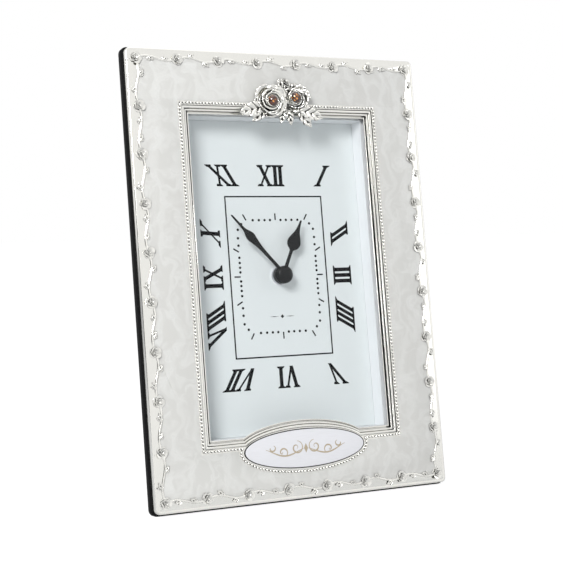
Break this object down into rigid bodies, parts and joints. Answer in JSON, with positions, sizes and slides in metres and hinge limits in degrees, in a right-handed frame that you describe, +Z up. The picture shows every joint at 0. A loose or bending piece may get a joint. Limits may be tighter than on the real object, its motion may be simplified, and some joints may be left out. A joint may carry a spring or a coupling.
{
  "type": "photo frame clock",
  "caption": "Leaning rectangular frame clock: reeded opening over a deep dial recess, hands on a geared battery movement, and a folding easel strut behind.",
  "frame": {"origin": "centre of the narrow flat under the backing board, on which the leaning frame stands", "axes": "+Z up, -Y towards the viewer of the dial, +X to the viewer's right"},
  "size_m": [0.1468, 0.1089, 0.1991],
  "materials": {
    "silver_plate": "polished silver plate",
    "pearl_enamel": "pearl enamel with soft swirls",
    "plaque_silver": "pale lacquered plate",
    "silver_cast": "bright cast silver",
    "amber_crystal": "faceted amber stone",
    "clear_glass": "clear",
    "white_plastic": "white, satin",
    "dial_enamel": "pale blue-grey satin",
    "black_velvet": "black velvet",
    "black_plastic": "black, fine grain",
    "nickel_steel": "bright nickel",
    "hinge_brass": "plain brass",
    "case_plastic": "black moulded",
    "inner_plastic": "natural moulded",
    "black_enamel": "black satin enamel",
    "magnet_grey": "sintered magnet",
    "motor_steel": "stamped steel",
    "coil_copper": "enamelled copper wire",
    "circuit_green": "coated board",
    "chip_resin": "moulded resin",
    "cell_jacket": "plain printed jacket"
  },
  "bodies": {
    "case": {"front_frame": "silver_plate", "pearl_inlay": "pearl_enamel", "name_plate": "plaque_silver", "rose_spray": "silver_cast", "amber_stones": "amber_crystal", "window_glass": "clear_glass", "dial_surround": "white_plastic", "dial_plate": "dial_enamel", "backing_board": "black_velvet", "rear_cover": "black_plastic", "rear_cover_screws": "nickel_steel", "strut_hinge_bracket": "hinge_brass", "strut_hinge_pin": "hinge_brass", "bracket_rivets": "hinge_brass", "movement_case_front": "case_plastic", "movement_middle_plate": "inner_plastic", "movement_case_rear": "case_plastic", "bushing_nut": "nickel_steel", "dial_washer": "nickel_steel", "stator": "motor_steel", "coil_core": "motor_steel", "coil_winding": "coil_copper", "circuit_board": "circuit_green", "crystal_can": "nickel_steel", "driver_chip": "chip_resin", "battery": "cell_jacket", "battery_contact_plus": "nickel_steel", "battery_contact_minus": "nickel_steel"},
    "minute_hand": {"minute_arbor": "nickel_steel", "minute_hand": "black_enamel", "hand_cap": "black_enamel"},
    "hour_hand": {"hour_wheel": "inner_plastic", "hour_hand": "black_enamel"},
    "minute_wheel": {"minute_wheel": "inner_plastic"},
    "set_knob": {"set_knob": "inner_plastic"},
    "centre_wheel": {"centre_wheel": "inner_plastic"},
    "third_wheel": {"third_wheel": "inner_plastic"},
    "seconds_wheel": {"seconds_wheel": "inner_plastic"},
    "intermediate_wheel": {"intermediate_wheel": "inner_plastic"},
    "rotor": {"rotor": "magnet_grey"},
    "strut": {"strut_leg": "black_velvet", "strut_hinge_leaf": "hinge_brass", "leaf_rivets": "hinge_brass", "strut_foot_tip": "black_plastic"}
  },
  "joints": [
    {"name": "minute_hand_turn", "type": "hinge", "parent": "case", "child": "minute_hand", "pos_m": [0, 0.02885, 0.09744], "axis": [0, 0.9864, -0.1644], "continuous": true},
    {"name": "hour_hand_turn", "type": "hinge", "parent": "case", "child": "hour_hand", "pos_m": [0, 0.02756, 0.09765], "axis": [0, 0.9864, -0.1644], "continuous": true},
    {"name": "minute_wheel_turn", "type": "hinge", "parent": "case", "child": "minute_wheel", "pos_m": [-0.00287, 0.03014, 0.10522], "axis": [0, 0.9864, -0.1644], "continuous": true},
    {"name": "set_knob_turn", "type": "hinge", "parent": "case", "child": "set_knob", "pos_m": [0.00253, 0.0312, 0.11157], "axis": [0, 0.9864, -0.1644], "continuous": true},
    {"name": "centre_wheel_turn", "type": "hinge", "parent": "case", "child": "centre_wheel", "pos_m": [0, 0.03141, 0.09701], "axis": [0, 0.9864, -0.1644], "continuous": true},
    {"name": "third_wheel_turn", "type": "hinge", "parent": "case", "child": "third_wheel", "pos_m": [-0.0085, 0.03269, 0.0968], "axis": [0, 0.9864, -0.1644], "continuous": true},
    {"name": "seconds_wheel_turn", "type": "hinge", "parent": "case", "child": "seconds_wheel", "pos_m": [0, 0.03398, 0.09658], "axis": [0, 0.9864, -0.1644], "continuous": true},
    {"name": "intermediate_wheel_turn", "type": "hinge", "parent": "case", "child": "intermediate_wheel", "pos_m": [0.009, 0.03526, 0.09637], "axis": [0, 0.9864, -0.1644], "continuous": true},
    {"name": "rotor_turn", "type": "hinge", "parent": "case", "child": "rotor", "pos_m": [0.01558, 0.03072, 0.0947], "axis": [0, 0.9864, -0.1644], "continuous": true},
    {"name": "strut_fold", "type": "hinge", "parent": "case", "child": "strut", "pos_m": [0, 0.05564, 0.13535], "axis": [1, 0, 0], "range_deg": [-26.4, 0]}
  ],
  "couplings": [
    {"joint": "minute_wheel_turn", "follows": "minute_hand_turn", "ratio": -0.33333},
    {"joint": "hour_hand_turn", "follows": "minute_hand_turn", "ratio": 0.083333},
    {"joint": "set_knob_turn", "follows": "minute_hand_turn", "ratio": 1},
    {"joint": "intermediate_wheel_turn", "follows": "rotor_turn", "ratio": -0.16667},
    {"joint": "seconds_wheel_turn", "follows": "rotor_turn", "ratio": 0.033333},
    {"joint": "third_wheel_turn", "follows": "rotor_turn", "ratio": -0.0044444},
    {"joint": "centre_wheel_turn", "follows": "rotor_turn", "ratio": 0.00055556}
  ]
}
